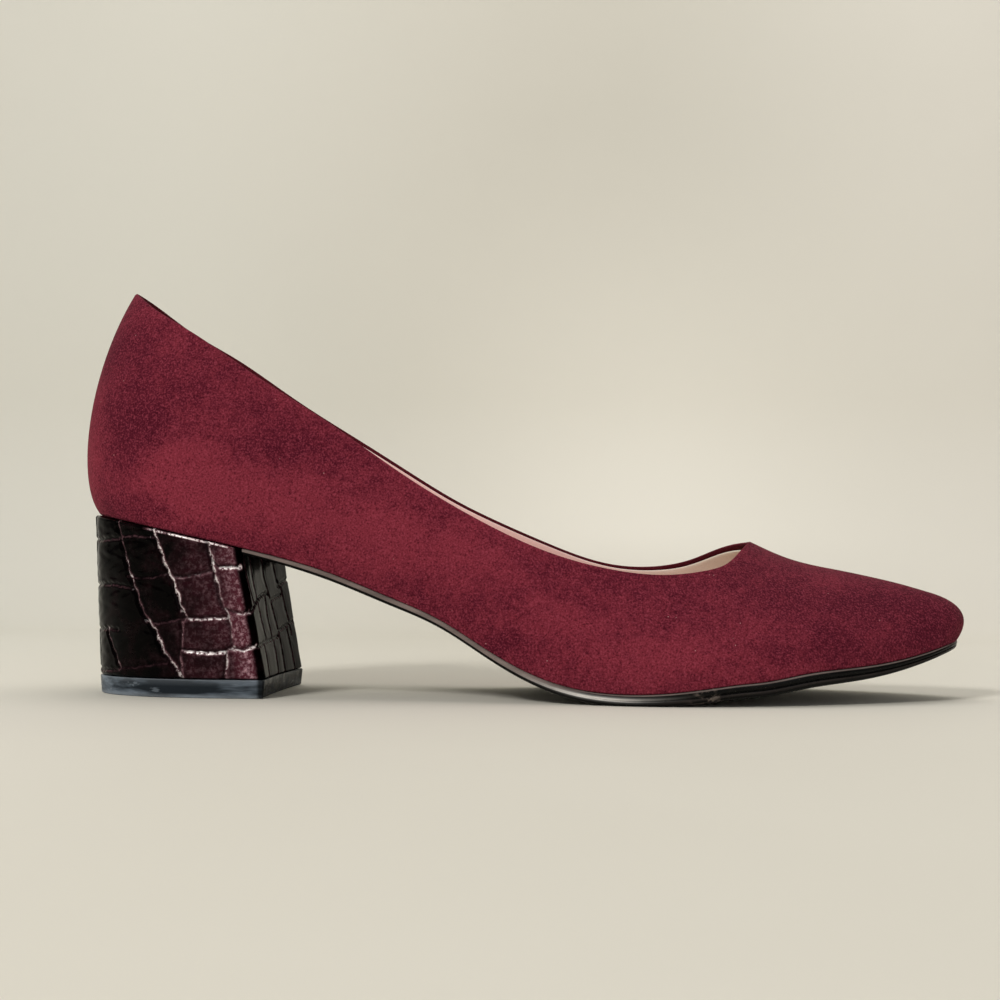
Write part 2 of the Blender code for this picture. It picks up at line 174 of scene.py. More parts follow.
# Sole thickness along the shoe as a share of the ball sole, and how far the rand and groove show
SoleRow = namedtuple("SoleRow", "along thickness step")
SOLE_ROWS = [
    SoleRow(0.20, 0.42, 0.0),
    SoleRow(0.28, 0.60, 0.0),
    SoleRow(0.38, 0.66, 0.0),
    SoleRow(0.48, 0.72, 0.1),
    SoleRow(0.56, 0.90, 0.5),
    SoleRow(0.64, 1.06, 1.0),
    SoleRow(0.72, 1.14, 1.0),
    SoleRow(0.80, 1.22, 1.0),
    SoleRow(0.88, 1.08, 1.0),
    SoleRow(0.95, 0.80, 0.8),
    SoleRow(1.00, 0.66, 0.6),
]

# Edge of the sole from its top to its tread: share of the thickness, and outset from the feather line
# as a share of the rand outset, without and with the groove
EdgeRow = namedtuple("EdgeRow", "depth plain stepped")
EDGE_ROWS = [
    EdgeRow(-0.10, -1.4, -1.4),
    EdgeRow(-0.08, -0.4, 0.3),
    EdgeRow(0.00, 0.0, 0.8),
    EdgeRow(0.08, 0.25, 1.0),
    EdgeRow(0.22, 0.4, 1.05),
    EdgeRow(0.36, 0.4, 1.0),
    EdgeRow(0.41, 0.4, 0.7),
    EdgeRow(0.45, 0.4, 0.0),
    EdgeRow(0.49, 0.4, 0.0),
    EdgeRow(0.53, 0.4, 0.6),
    EdgeRow(0.60, 0.35, 0.72),
    EdgeRow(0.78, 0.2, 0.6),
    EdgeRow(0.90, -0.1, 0.2),
    EdgeRow(1.00, -0.9, -0.8),
]

# Grooves of the embossed cover: strength, width in metres, how bright the painted highlight along its
# edge is, and points as the way round the seat outline from the middle of the back, in millimetres,
# with the share of the way down to the lift
Groove = namedtuple("Groove", "strength width glint points")
OUTER_GROOVES = [Groove(*row) for row in (
    (1.0, 0.00052, 1.0, ((38.6, -0.02), (39.2, 0.04), (40.4, 0.13), (41.6, 0.24), (43.3, 0.34),
         (44.3, 0.45), (44.9, 0.52))),
    (1.0, 0.00048, 0.6, ((44.9, 0.52), (45.8, 0.58))),
    (0.7, 0.00040, 0.3, ((45.8, 0.58), (44.5, 0.61), (44.1, 0.72), (42.9, 0.87), (43.0, 1.02))),
    (1.0, 0.00050, 0.7, ((28.9, 0.20), (29.4, 0.26), (30.4, 0.35), (31.8, 0.43), (33.0, 0.54),
         (34.8, 0.62))),
    (1.0, 0.00054, 1.1, ((34.8, 0.62), (36.9, 0.69), (38.0, 0.78), (38.9, 0.84), (40.7, 0.90),
         (42.1, 0.96), (42.8, 1.02))),
    (0.7, 0.00042, 0.25, ((26.6, -0.02), (27.8, 0.10), (28.9, 0.20))),
    (1.0, 0.00052, 1.1, ((54.2, -0.03), (54.9, 0.11), (54.9, 0.20), (55.3, 0.27))),
    (0.9, 0.00048, 0.6, ((55.3, 0.27), (55.7, 0.38), (56.1, 0.46), (57.2, 0.53))),
    (0.9, 0.00048, 0.45, ((57.2, 0.53), (57.2, 0.64), (57.2, 0.73), (56.8, 0.78))),
    (0.9, 0.00042, 0.55, ((55.4, 0.80), (54.9, 0.86), (53.7, 1.02))),
    (0.6, 0.00036, 0.07, ((29.6, 0.34), (34.6, 0.34), (38.0, 0.32), (42.1, 0.28))),
    (0.6, 0.00036, 0.08, ((34.1, 0.62), (38.0, 0.63), (43.7, 0.59), (45.4, 0.58))),
    (0.7, 0.00038, 0.22, ((42.1, 0.28), (44.9, 0.30), (48.0, 0.28), (54.3, 0.22), (55.0, 0.20))),
    (0.9, 0.00042, 0.55, ((45.4, 0.58), (50.0, 0.57), (56.8, 0.54))),
    (0.9, 0.00042, 0.9, ((44.0, 0.80), (50.0, 0.81), (54.3, 0.80), (57.0, 0.76))),
    (1.0, 0.00044, 1.0, ((54.9, 0.13), (57.0, 0.17), (60.7, 0.15), (62.5, 0.14))),
    (0.9, 0.00042, 0.5, ((56.6, 0.48), (59.0, 0.50), (61.4, 0.50), (63.0, 0.48))),
    (0.9, 0.00042, 0.7, ((57.0, 0.77), (59.5, 0.78), (61.6, 0.75), (63.0, 0.74))),
    (0.5, 0.00034, 0.04, ((20.9, 0.95), (30.0, 0.93), (39.2, 0.89))),
    (0.5, 0.00036, 0.1, ((26.6, 0.10), (32.0, 0.07), (38.8, 0.05))),
    (0.8, 0.00042, 0.5, ((19.0, 0.70), (19.7, 0.75), (21.4, 0.82), (23.2, 0.89), (24.0, 0.95))),
)]
BACK_LOW = ((-22.0, 0.95), (-6.0, 0.97), (6.0, 0.95), (13.6, 0.97), (23.0, 0.96))
BACK_GROOVES = [Groove(0.7, 0.00042, 0.1, BACK_LOW)] + [Groove(0.8, 0.00044, 0.1, points) for points in (
    ((-17.0, 0.16), (-6.0, 0.13), (6.0, 0.15), (16.0, 0.15), (26.8, 0.11)),
    ((-21.0, 0.44), (-8.0, 0.42), (4.0, 0.45), (15.3, 0.43), (24.5, 0.41), (31.0, 0.42)),
    ((-19.0, 0.70), (-7.0, 0.72), (3.0, 0.70), (14.0, 0.72), (19.0, 0.70), (24.0, 0.70)),
    ((1.0, -0.02), (0.0, 0.08), (2.5, 0.15)),
    ((12.5, -0.02), (13.0, 0.15), (11.0, 0.28), (11.6, 0.43)),
    ((2.5, 0.15), (-1.5, 0.30), (-0.5, 0.44)),
    ((6.0, 0.45), (4.0, 0.58), (5.0, 0.71)),
    ((-7.0, 0.42), (-8.5, 0.58), (-7.0, 0.72)),
    ((-1.5, 0.71), (0.0, 0.84), (-1.0, 0.96)),
    ((11.0, 0.72), (12.5, 0.85), (11.0, 0.97)),
    ((-13.0, 0.15), (-12.0, 0.30), (-14.5, 0.43)),
    ((-13.0, 0.71), (-12.0, 0.84), (-14.0, 0.96)),
)]
BREAST_GROOVES = [Groove(strength, width, 0.12, points) for strength, width, points in (
    (0.9, 0.00044, ((66.5, -0.02), (64.8, 0.13), (65.2, 0.24), (66.6, 0.34), (68.8, 0.44))),
    (0.9, 0.00044, ((74.4, -0.02), (73.4, 0.13), (72.8, 0.25), (74.2, 0.40))),
    (0.9, 0.00044, ((63.3, 0.48), (68.8, 0.44), (74.2, 0.40), (80.0, 0.37), (85.9, 0.35), (91.0, 0.36))),
    (1.0, 0.00050, ((90.0, -0.02), (89.4, 0.10), (88.8, 0.23), (92.0, 0.39), (94.3, 0.54), (96.2, 0.68),
         (96.8, 0.82), (96.5, 1.02))),
    (0.9, 0.00044, ((74.2, 0.40), (75.2, 0.55), (77.5, 0.71))),
    (1.0, 0.00048, ((102.6, -0.02), (103.0, 0.11), (103.9, 0.24), (108.1, 0.32), (109.4, 0.48),
         (111.0, 0.61), (111.4, 0.70))),
    (0.8, 0.00042, ((92.6, 0.41), (98.0, 0.39), (103.9, 0.37), (108.4, 0.36))),
    (0.8, 0.00042, ((103.9, 0.30), (109.0, 0.27), (114.0, 0.24), (118.0, 0.24))),
    (0.9, 0.00044, ((95.8, 0.67), (104.9, 0.63), (111.0, 0.61), (117.0, 0.59))),
    (0.8, 0.00042, ((63.3, 0.75), (74.6, 0.73), (87.2, 0.72), (96.2, 0.70))),
    (0.8, 0.00042, ((72.6, 0.73), (73.6, 0.84), (72.6, 1.02))),
    (0.9, 0.00044, ((87.2, 0.72), (88.1, 0.85), (86.8, 1.02))),
    (0.9, 0.00044, ((106.8, 0.64), (108.5, 0.82), (109.4, 1.02))),
    (0.8, 0.00042, ((86.0, 0.36), (84.6, 0.54), (86.4, 0.72))),
)]


def smooth_curve(knots, values, period=None):
    """Cubic spline through values at knots: natural at its ends, or closed with a period."""
    knots = np.asarray(knots, float)
    values = np.asarray(values, float)
    if period is not None:
        knots = np.append(knots, knots[0] + period)
        values = np.append(values, values[0])
    count = len(knots)
    step = np.diff(knots)
    slope = np.diff(values) / step
    matrix = np.zeros((count, count))
    right = np.zeros(count)
    for k in range(1, count - 1):
        matrix[k, k - 1 : k + 2] = step[k - 1], 2 * (step[k - 1] + step[k]), step[k]
        right[k] = 6 * (slope[k] - slope[k - 1])
    if period is None:
        matrix[0, 0] = matrix[-1, -1] = 1
    else:
        matrix[0, [0, 1, -2]] = 2 * (step[-1] + step[0]), step[0], step[-1]
        right[0] = 6 * (slope[0] - slope[-1])
        matrix[-1, [0, -1]] = 1, -1
    bend = np.linalg.solve(matrix, right)

    def curve(at):
        at = np.asarray(at, float)
        if period is not None:
            at = knots[0] + (at - knots[0]) % period
        k = np.clip(np.searchsorted(knots, at) - 1, 0, count - 2)
        a = (knots[k + 1] - at) / step[k]
        b = 1 - a
        sag = (a**3 - a) * bend[k] + (b**3 - b) * bend[k + 1]
        return a * values[k] + b * values[k + 1] + sag * step[k] ** 2 / 6

    return curve


def unit(vectors):
    return vectors / np.linalg.norm(vectors, axis=-1, keepdims=True)


def bell(value, middle, reach):
    return np.exp(-(((value - middle) / reach) ** 2))


def fade(distance, reach):
    """From 0 at no distance to 1 at the reach."""
    return np.clip(distance / reach, 0.0, 1.0)


class Last:
    """The outer form of the upper, read from the section table at stations round the feather line."""

    def __init__(self):
        knots = [0.0]
        for row, after in zip(SECTIONS, SECTIONS[1:]):
            dx = (after.along - row.along) * SHOE_LENGTH
            dy = (after.lateral + after.medial - row.lateral - row.medial) * BALL_WIDTH / 2
            knots.append(knots[-1] + float(np.hypot(dx, dy)))
        self.tip = knots[-1]
        self.throat = knots[THROAT_ROW]
        self.girth = 2 * self.tip
        self.knots = knots + [self.girth - k for k in knots[-2:0:-1]]
        outer = SECTIONS
        inner = SECTIONS[-2:0:-1]
        self.curves = {
            "x": self.fit([row.along for row in outer + inner]),
            "y": self.fit([-row.lateral for row in outer] + [row.medial for row in inner]),
            "bulge": self.fit([row.outer_bulge for row in outer] + [row.inner_bulge for row in inner]),
            "top": self.fit([row.outer_top for row in outer] + [row.inner_top for row in inner]),
        }
        for name in ("seat", "spring", "ridge_at", "ridge_in", "ridge", "rise", "crown"):
            self.curves[name] = self.fit([getattr(row, name) for row in outer + inner])
        self.outer_u = np.linspace(0.0, self.tip, 2000)
        self.outer_foot = self.foot(self.outer_u)

    def fit(self, values):
        return smooth_curve(self.knots, values, self.girth)

    def foot(self, u):
        """Points of the feather line at stations u."""
        height = BALL_SOLE + self.curves["seat"](u) * SEAT_RISE + self.curves["spring"](u) * TOE_SPRING
        return np.stack([self.curves["x"](u) * SHOE_LENGTH, self.curves["y"](u) * BALL_WIDTH, height], -1)

    def outward(self, u):
        """Plan directions square to the feather line, away from the foot."""
        along = self.foot(u + DIRECTION_STEP) - self.foot(u - DIRECTION_STEP)
        return unit(np.stack([along[..., 1], -along[..., 0], np.zeros_like(u)], -1))

    def hull(self, u):
        """The four control points of each section from the feather line up to the ridge."""
        foot = self.foot(u)
        height = self.curves["ridge"](u) * INSTEP_HEIGHT
        ridge = np.stack([
            self.curves["ridge_at"](u) * SHOE_LENGTH,
            self.curves["ridge_in"](u) * BALL_WIDTH,
            foot[..., 2] + height,
        ], -1)
        low = foot + self.outward(u) * (self.curves["bulge"](u) * BALL_WIDTH)[..., None]
        low[..., 2] += self.curves["rise"](u) * height
        reach = foot - ridge
        reach[..., 2] = 0.0
        high = ridge + reach * self.curves["crown"](u)[..., None]
        high[..., 2] -= np.maximum(high[..., 0] - ridge[..., 0], 0.0) * TOE_SLOPE
        return foot, low, high, ridge

    def point(self, u, t):
        """Points at shares t (a row for each station) of the sections at stations u."""
        a, b, c, d = (corner[:, None, :] for corner in self.hull(u))
        t = t[..., None]
        return (1 - t) ** 3 * a + 3 * t * (1 - t) ** 2 * b + 3 * t * t * (1 - t) * c + t**3 * d

    def normal(self, u, t):
        """Directions square to the surface, away from the foot."""
        a, b, c, d = (corner[:, None, :] for corner in self.hull(u))
        s = t[..., None]
        climb = 3 * ((1 - s) ** 2 * (b - a) + 2 * s * (1 - s) * (c - b) + s * s * (d - c))
        along = self.point(u + DIRECTION_STEP, t) - self.point(u - DIRECTION_STEP, t)
        return unit(np.cross(along, climb))

    def collar_height(self, u, drops):
        """Heights of the topline at stations u, lowered by the first drop, and at its ends by both."""
        foot = self.foot(u)
        forward = np.minimum(foot[..., 0] / (SECTIONS[THROAT_ROW].along * SHOE_LENGTH), 1.0)
        size = BACK_HEIGHT + (INSTEP_HEIGHT - BACK_HEIGHT) * forward
        ends = forward**12 + (1 - forward) ** 6
        raised = BALL_RISE * bell(forward, BALL_AT, BALL_REACH)
        return foot[..., 2] + self.curves["top"](u) * size - drops[0] - drops[1] * (ends - raised)

    def throat_at(self, drops):
        """Outer station at which the lowered topline meets the ridge."""
        low, high = self.throat - THROAT_ZONE / 2, self.throat + THROAT_ZONE
        for _ in range(HALVINGS):
            middle = np.array([(low + high) / 2])
            if self.collar_height(middle, drops)[0] < self.hull(middle)[3][0, 2]:
                low = middle[0]
            else:
                high = middle[0]
        return (low + high) / 2

    def collar_share(self, u, drops, throat):
        """Shares of the sections at which the topline cuts them; 1 where the vamp is closed."""
        closed = np.abs(u - self.tip) <= self.tip - throat + TINY
        height = self.collar_height(u, drops)
        for side in (throat, self.girth - throat):
            here = np.array([side])
            miss = self.hull(here)[3][0, 2] - self.collar_height(here, drops)[0]
            height = height + miss * bell(u, side, THROAT_ZONE)
        low, high = np.zeros_like(u), np.ones_like(u)
        for _ in range(HALVINGS):
            middle = (low + high) / 2
            under = self.point(u, middle[:, None])[:, 0, 2] < height
            low = np.where(under, middle, low)
            high = np.where(under, high, middle)
        return np.where(closed, 1.0, (low + high) / 2)

    def stations(self, spacing, throat):
        """Stations round the whole feather line, gathered at the throat, outer side first."""
        start = throat - THROAT_ZONE
        behind = np.linspace(0.0, start, int(start / spacing))[:-1]
        zone = throat - THROAT_ZONE * np.linspace(1.0, 0.0, THROAT_CUTS) ** 2
        ahead = np.linspace(throat, self.tip, int((self.tip - throat) / spacing))[1:]
        outer = np.concatenate([behind, zone, ahead])
        return np.concatenate([outer, self.girth - outer[-2:0:-1]]), len(behind) + THROAT_CUTS - 1

    def seat_height(self, x):
        """Height of the feather line at distances along the shoe."""
        return np.interp(x, self.outer_foot[:, 0], self.outer_foot[:, 2])

    def station_at(self, x):
        """Outer stations at distances along the shoe."""
        return np.interp(x, self.outer_foot[:, 0], self.outer_u)


last = Last()


# Meshes

def add_object(name, data):
    made = bpy.data.objects.new(name, data)
    bpy.context.scene.collection.objects.link(made)
    return made


def add_mesh(name, points, faces, materials, values=None):
    """Mesh object from working points, with per-vertex values kept as named attributes."""
    mesh = bpy.data.meshes.new(name)
    mesh.from_pydata((np.asarray(points) + SHIFT).tolist(), [], faces)
    mesh.shade_smooth()
    for look in materials:
        mesh.materials.append(look)
    for key, numbers in (values or {}).items():
        attribute = mesh.attributes.new(key, "FLOAT", "POINT")
        attribute.data.foreach_set("value", np.asarray(numbers, np.float32))
    return add_object(name, mesh)


def strip(lower, upper, flip=False):
    """Quads between two closed rings of vertex numbers."""
    count = len(lower)
    faces = []
    for k in range(count):
        after = (k + 1) % count
        face = (lower[k], lower[after], upper[after], upper[k])
        faces.append(face[::-1] if flip else face)
    return faces


def stack_faces(count, rings):
    """Quads between rings of count vertices each, numbered one ring after another from the top down."""
    numbers = np.arange(count * rings).reshape(rings, count).tolist()
    faces = []
    for upper, lower in zip(numbers, numbers[1:]):
        faces += strip(lower, upper)
    return faces


def shell_grid(depth, drops, spacing, levels):
    """Grid of the upper's surface at a depth under its skin, up to the lowered topline.

    Returns points, vertex numbers per station and level, the topline's stations in a loop from the
    throat back along the outer side, and the loop's normals."""
    throat = last.throat_at(drops)
    u, at = last.stations(spacing, throat)
    share = last.collar_share(u, drops, throat)
    t = share[:, None] * np.linspace(0.0, 1.0, levels)[None, :]
    count = len(u)
    normals = last.normal(u, t)
    closed = range(at, count // 2 + 1)
    for k in closed:
        other = (count - k) % count
        mean = unit(normals[k, -1] + normals[other, -1])
        normals[k, -1] = mean
        normals[other, -1] = mean
    points = last.point(u, t) - depth * normals
    numbers = np.arange(count * levels).reshape(count, levels)
    for k in closed:
        numbers[(count - k) % count, -1] = numbers[k, -1]
    loop = list(range(at, -1, -1)) + list(range(count - 1, count - at, -1))
    return points, numbers, loop, normals[loop, -1]


def add_rings(rings, below, points, faces, flip=False):
    """Join rings of points, one after another, to the vertices numbered in below."""
    total = sum(len(part) for part in points)
    for ring in rings:
        above = list(range(total, total + len(ring)))
        total += len(ring)
        points.append(ring)
        faces += strip(below, above, flip=flip)
        below = above


def grid_faces(numbers, flip):
    """Quads of a grid that closes round its stations, without the slivers at welded corners."""
    numbers = numbers.tolist()
    faces = []
    count = len(numbers)
    for i in range(count):
        j = (i + 1) % count
        for k in range(len(numbers[0]) - 1):
            corners = []
            for corner in (numbers[i][k], numbers[j][k], numbers[j][k + 1], numbers[i][k + 1]):
                if corner not in corners:
                    corners.append(corner)
            if len(corners) > 2:
                faces.append(tuple(corners[::-1] if flip else corners))
    return faces


def edge_frame(edge, normals):
    """Directions square to a topline loop: away from the surface, and into the opening."""
    along = unit(np.roll(edge, -1, axis=0) - np.roll(edge, 1, axis=0))
    out = unit(normals - (normals * along).sum(-1, keepdims=True) * along)
    return out, np.cross(along, out)


# Materials

class Look:
    """A node material and short ways to add and join its nodes."""

    def __init__(self, name, **sockets):
        self.material = bpy.data.materials.new(name)
        self.material.use_nodes = True
        self.tree = self.material.node_tree
        self.shader = self.tree.nodes["Principled BSDF"]
        for key, value in sockets.items():
            self.shader.inputs[key.replace("_", " ")].default_value = value
        self.place = self.add("ShaderNodeTexCoord").outputs["Object"]

    def add(self, kind, inputs=None, **settings):
        made = self.tree.nodes.new(kind)
        for key, value in settings.items():
            setattr(made, key, value)
        for key, value in (inputs or {}).items():
            self.feed(made.inputs[key], value)
        return made

    def feed(self, socket, value):
        """Join a socket to another's output, or give it a plain value."""
        if isinstance(value, bpy.types.NodeSocket):
            self.tree.links.new(value, socket)
        else:
            socket.default_value = value

    def noise(self, scale, detail, rough=0.5, stretch=(1, 1, 1), warp=0.0):
        place = self.add("ShaderNodeMapping", {"Vector": self.place, "Scale": stretch}).outputs[0]
        inputs = {"Vector": place, "Scale": scale, "Detail": detail, "Roughness": rough, "Distortion": warp}
        return self.add("ShaderNodeTexNoise", inputs).outputs["Fac"]

    def cells(self, scale):
        return self.add("ShaderNodeTexVoronoi", {"Vector": self.place, "Scale": scale}).outputs["Distance"]

    def ramp(self, value, low, high, to_low=0.0, to_high=1.0):
        """Value between low and high, brought smoothly to a new range."""
        inputs = dict(enumerate((value, low, high, to_low, to_high)))
        return self.add("ShaderNodeMapRange", inputs, interpolation_type="SMOOTHSTEP").outputs[0]

    def spread(self, noise, to_low=0.0, to_high=1.0):
        """The usual values of a noise, brought smoothly to a new range."""
        return self.ramp(noise, 0.3, 0.7, to_low, to_high)

    def math(self, kind, a, b=0.0):
        return self.add("ShaderNodeMath", {0: a, 1: b}, operation=kind).outputs[0]

    def sum(self, a, b):
        return self.math("ADD", a, b)

    def times(self, a, b):
        return self.math("MULTIPLY", a, b)

    def blend(self, share, a, b):
        a, b = ((*colour, 1.0) if isinstance(colour, tuple) else colour for colour in (a, b))
        return self.add("ShaderNodeMix", {0: share, 6: a, 7: b}, data_type="RGBA").outputs[2]

    def value(self, name):
        return self.add("ShaderNodeAttribute", attribute_name=name).outputs["Fac"]

    def bump(self, height, distance, strength, after=None):
        inputs = {"Height": height, "Distance": distance, "Strength": strength}
        if after is not None:
            inputs["Normal"] = after
        made = self.add("ShaderNodeBump", inputs)
        self.feed(self.shader.inputs["Normal"], made.outputs[0])
        return made.outputs[0]

    def colour(self, value):
        self.feed(self.shader.inputs["Base Color"], value)

    def roughness(self, value):
        self.feed(self.shader.inputs["Roughness"], value)


def linear(red, green, blue):
    """Linear colour from display values out of 255."""
    return tuple((np.array([red, green, blue]) / 255.0) ** 2.2)


def suede_look():
    look = Look("suede", Sheen_Weight=0.04, Sheen_Roughness=0.5, Specular_IOR_Level=0.08)
    look.shader.inputs["Sheen Tint"].default_value = (1.0, 0.5, 0.58, 1.0)
    broad = look.noise(26, 3, 0.5, (1, 1, 1.5), 0.6)
    patch = look.noise(130, 4, 0.6, (1, 1, 1.3), 0.4)
    fleck = look.noise(420, 4, 0.65)
    grain = look.noise(2000, 3, 0.65)
    clouds = look.sum(look.times(broad, 0.34), look.times(patch, 0.34))
    clouds = look.sum(clouds, look.times(fleck, 0.40))
    # The patches add the nap's own tone and painted light and shade: a darker toe tip, the soft dents of
    # the vamp and lighter places.
    clouds = look.sum(clouds, look.value("nap_light_and_shade"))
    base = look.blend(look.ramp(clouds, 0.355, 0.755), linear(83, 26, 41), linear(127, 48, 61))
    speckled = look.blend(look.ramp(grain, 0.48, 0.68, 0.0, 0.54), base, linear(158, 69, 85))
    dark = look.ramp(grain, 0.31, 0.50, 0.66, 0.0)
    speckled = look.blend(dark, speckled, linear(52, 10, 22))
    dust = look.ramp(look.cells(420), 0.04, 0.08, 1.0, 0.0)
    chance = look.ramp(look.noise(170, 1), 0.585, 0.645)
    speckled = look.blend(look.times(look.times(dust, chance), 0.65),
                          speckled, linear(214, 160, 160))
    look.colour(look.blend(look.value("edge"), speckled, linear(58, 18, 22)))
    look.roughness(0.95)
    coarse = look.bump(look.noise(700, 4, 0.65), 0.00030, 0.6)
    look.bump(grain, 0.00014, 0.7, coarse)
    return look.material


def leather(look, base, pore_scale, pore_share, pore_colour, rough_noise, rough_range):
    """Fine pores in a base colour, and a roughness that varies."""
    pores = look.cells(pore_scale)
    look.colour(look.blend(look.ramp(pores, 0.10, 0.35, pore_share, 0.0), base, pore_colour))
    look.roughness(look.spread(look.noise(rough_noise, 3), *rough_range))
    look.bump(pores, 0.0001, 0.5)
    return look.material


def lining_look():
    look = Look("lining", Specular_IOR_Level=0.35)
    base = look.blend(look.spread(look.noise(40, 3)), linear(240, 204, 198), linear(246, 212, 206))
    base = look.blend(look.ramp(look.value("forward"), 0.52, 0.78), base, linear(240, 240, 222))
    return leather(look, base, 1500, 0.18, linear(206, 166, 150), 300, (0.48, 0.62))


def sock_look():
    look = Look("sock", Specular_IOR_Level=0.35)
    base = look.blend(look.spread(look.noise(35, 3)), linear(214, 172, 158), linear(228, 190, 176))
    worn = look.ramp(look.noise(18, 2), 0.5, 0.75, 0.0, 0.3)
    base = look.blend(worn, base, linear(186, 148, 132))
    return leather(look, base, 1400, 0.22, linear(160, 120, 104), 260, (0.42, 0.58))


def cover_look(name, level, relief_height):
    look = Look(name, Specular_IOR_Level=level, Coat_Roughness=0.10)
    # The red value is partly the cover's own tone and partly painted sheen, with a painted highlight before
    # the breast corner and painted shade at the corner.
    red = look.sum(look.value("red"), look.spread(look.noise(160, 3), -0.08, 0.10))
    base = look.blend(look.ramp(red, 0.0, 1.0), linear(7, 3, 4), linear(84, 42, 52))
    fine = look.noise(1100, 4, 0.65)
    # Painted sheen: a mottled pinkish haze where the cover is red.
    painted_sheen = look.times(look.ramp(look.noise(900, 5, 0.75), 0.44, 0.68, 0.0, 0.95), red)
    base = look.blend(look.times(painted_sheen, red), base, linear(196, 156, 166))
    # Painted highlights: pale glints along the lit walls of the grooves and along the top of the cover,
    # broken into beads; the coat follows them.
    beads = look.ramp(look.noise(1400, 2, 0.6), 0.36, 0.56, 0.15, 1.0)
    beads = look.times(beads, look.ramp(look.noise(260, 2), 0.36, 0.56, 0.35, 1.0))
    worn = look.times(look.times(look.value("rim"), 1.8), beads)
    look.feed(look.shader.inputs["Coat Weight"], look.ramp(worn, 0.25, 0.8))
    painted_glint_colour = look.blend(look.ramp(worn, 0.2, 0.7), linear(186, 134, 146), linear(255, 242, 243))
    base = look.blend(worn, base, painted_glint_colour)
    look.colour(look.blend(look.times(look.value("groove"), 0.8), base, linear(6, 3, 4)))
    look.roughness(look.spread(fine, 0.08, 0.18))
    relief = look.sum(look.noise(420, 4, 0.55, (1, 1, 0.7)), look.times(fine, 0.35))
    look.bump(relief, relief_height, 0.5)
    return look.material


def lift_look():
    look = Look("lift", Specular_IOR_Level=0.03)
    smear = look.noise(60, 4, 0.6, (0.5, 1, 3))
    base = look.blend(look.ramp(smear, 0.38, 0.62), linear(40, 45, 50), linear(118, 129, 141))
    scratch = look.ramp(look.noise(500, 3, 0.6, (0.12, 1, 1)), 0.60, 0.70, 0.0, 0.35)
    base = look.blend(scratch, base, linear(140, 150, 160))
    # Pale edges of the lift: partly wear and partly painted highlight.
    base = look.blend(look.times(look.value("rim"), 0.35), base, linear(170, 178, 186))
    look.colour(look.blend(look.times(look.value("front"), 0.85), base, linear(12, 12, 11)))
    look.roughness(look.spread(look.noise(220, 4, 0.6), 0.22, 0.42))
    look.bump(look.noise(700, 3, 0.6), 0.00006, 0.6)
    return look.material


def sole_edge_look():
    look = Look("sole_edge", Specular_IOR_Level=0.12, Coat_Roughness=0.24)
    smear = look.noise(90, 4, 0.6)
    base = look.blend(look.ramp(smear, 0.35, 0.7), linear(5, 5, 4), linear(16, 15, 14))
    streak = look.ramp(look.noise(300, 4, 0.6, (0.15, 1, 1)), 0.25, 0.75, 0.55, 1.0)
    # Painted reflection and highlights on the edge: a pale shine along the waist, thin lines on the rand
    # and the groove, and a near-white glare before the ball that the coat follows.
    base = look.blend(look.times(streak, look.value("painted_shine")), base, linear(134, 120, 115))
    painted_glare = look.ramp(look.noise(500, 3, 0.6, (0.2, 1, 1)), 0.3, 0.6, 0.6, 1.0)
    painted_glare = look.times(look.value("painted_glare"), painted_glare)
    base = look.blend(painted_glare, base, linear(255, 253, 250))
    look.feed(look.shader.inputs["Coat Weight"], painted_glare)
    rub = look.ramp(look.noise(420, 3, 0.65), 0.46, 0.62, 0.0, 0.8)
    look.colour(look.blend(look.times(rub, look.value("worn")), base, linear(128, 116, 108)))
    look.roughness(look.spread(look.noise(260, 4, 0.6), 0.22, 0.40))
    look.bump(look.noise(900, 3, 0.6), 0.00004, 0.6)
    return look.material


def tread_look():
    look = Look("sole_tread", Specular_IOR_Level=0.4)
    base = look.blend(look.ramp(look.noise(70, 4, 0.6), 0.35, 0.7), linear(26, 24, 23), linear(44, 42, 40))
    scuff = look.ramp(look.noise(240, 4, 0.7, (0.3, 1, 1)), 0.56, 0.70, 0.0, 0.45)
    look.colour(look.blend(look.times(scuff, look.value("tread")), base, linear(104, 100, 96)))
    look.roughness(0.62)
    place = look.add("ShaderNodeSeparateXYZ")
    look.feed(place.inputs[0], look.place)
    wave = look.math("SINE", look.times(place.outputs[0], 2 * np.pi / 0.0022))
    ribs = look.times(wave, look.value("tread"))
    grain = look.bump(look.noise(1200, 3, 0.6), 0.00006, 0.6)
    look.bump(ribs, 0.00018, 0.8, grain)
    return look.material


# Upper

def fold_rings(edge, out, into, radius, sign, cuts):
    """Rings of a half-round edge; sign -1 folds towards the foot and 1 away from it."""
    rings = []
    for turn in np.linspace(0.0, np.pi, cuts + 1)[1:]:
        rings.append(edge + out * sign * radius * (1 - np.cos(turn)) + into * radius * np.sin(turn))
    return rings
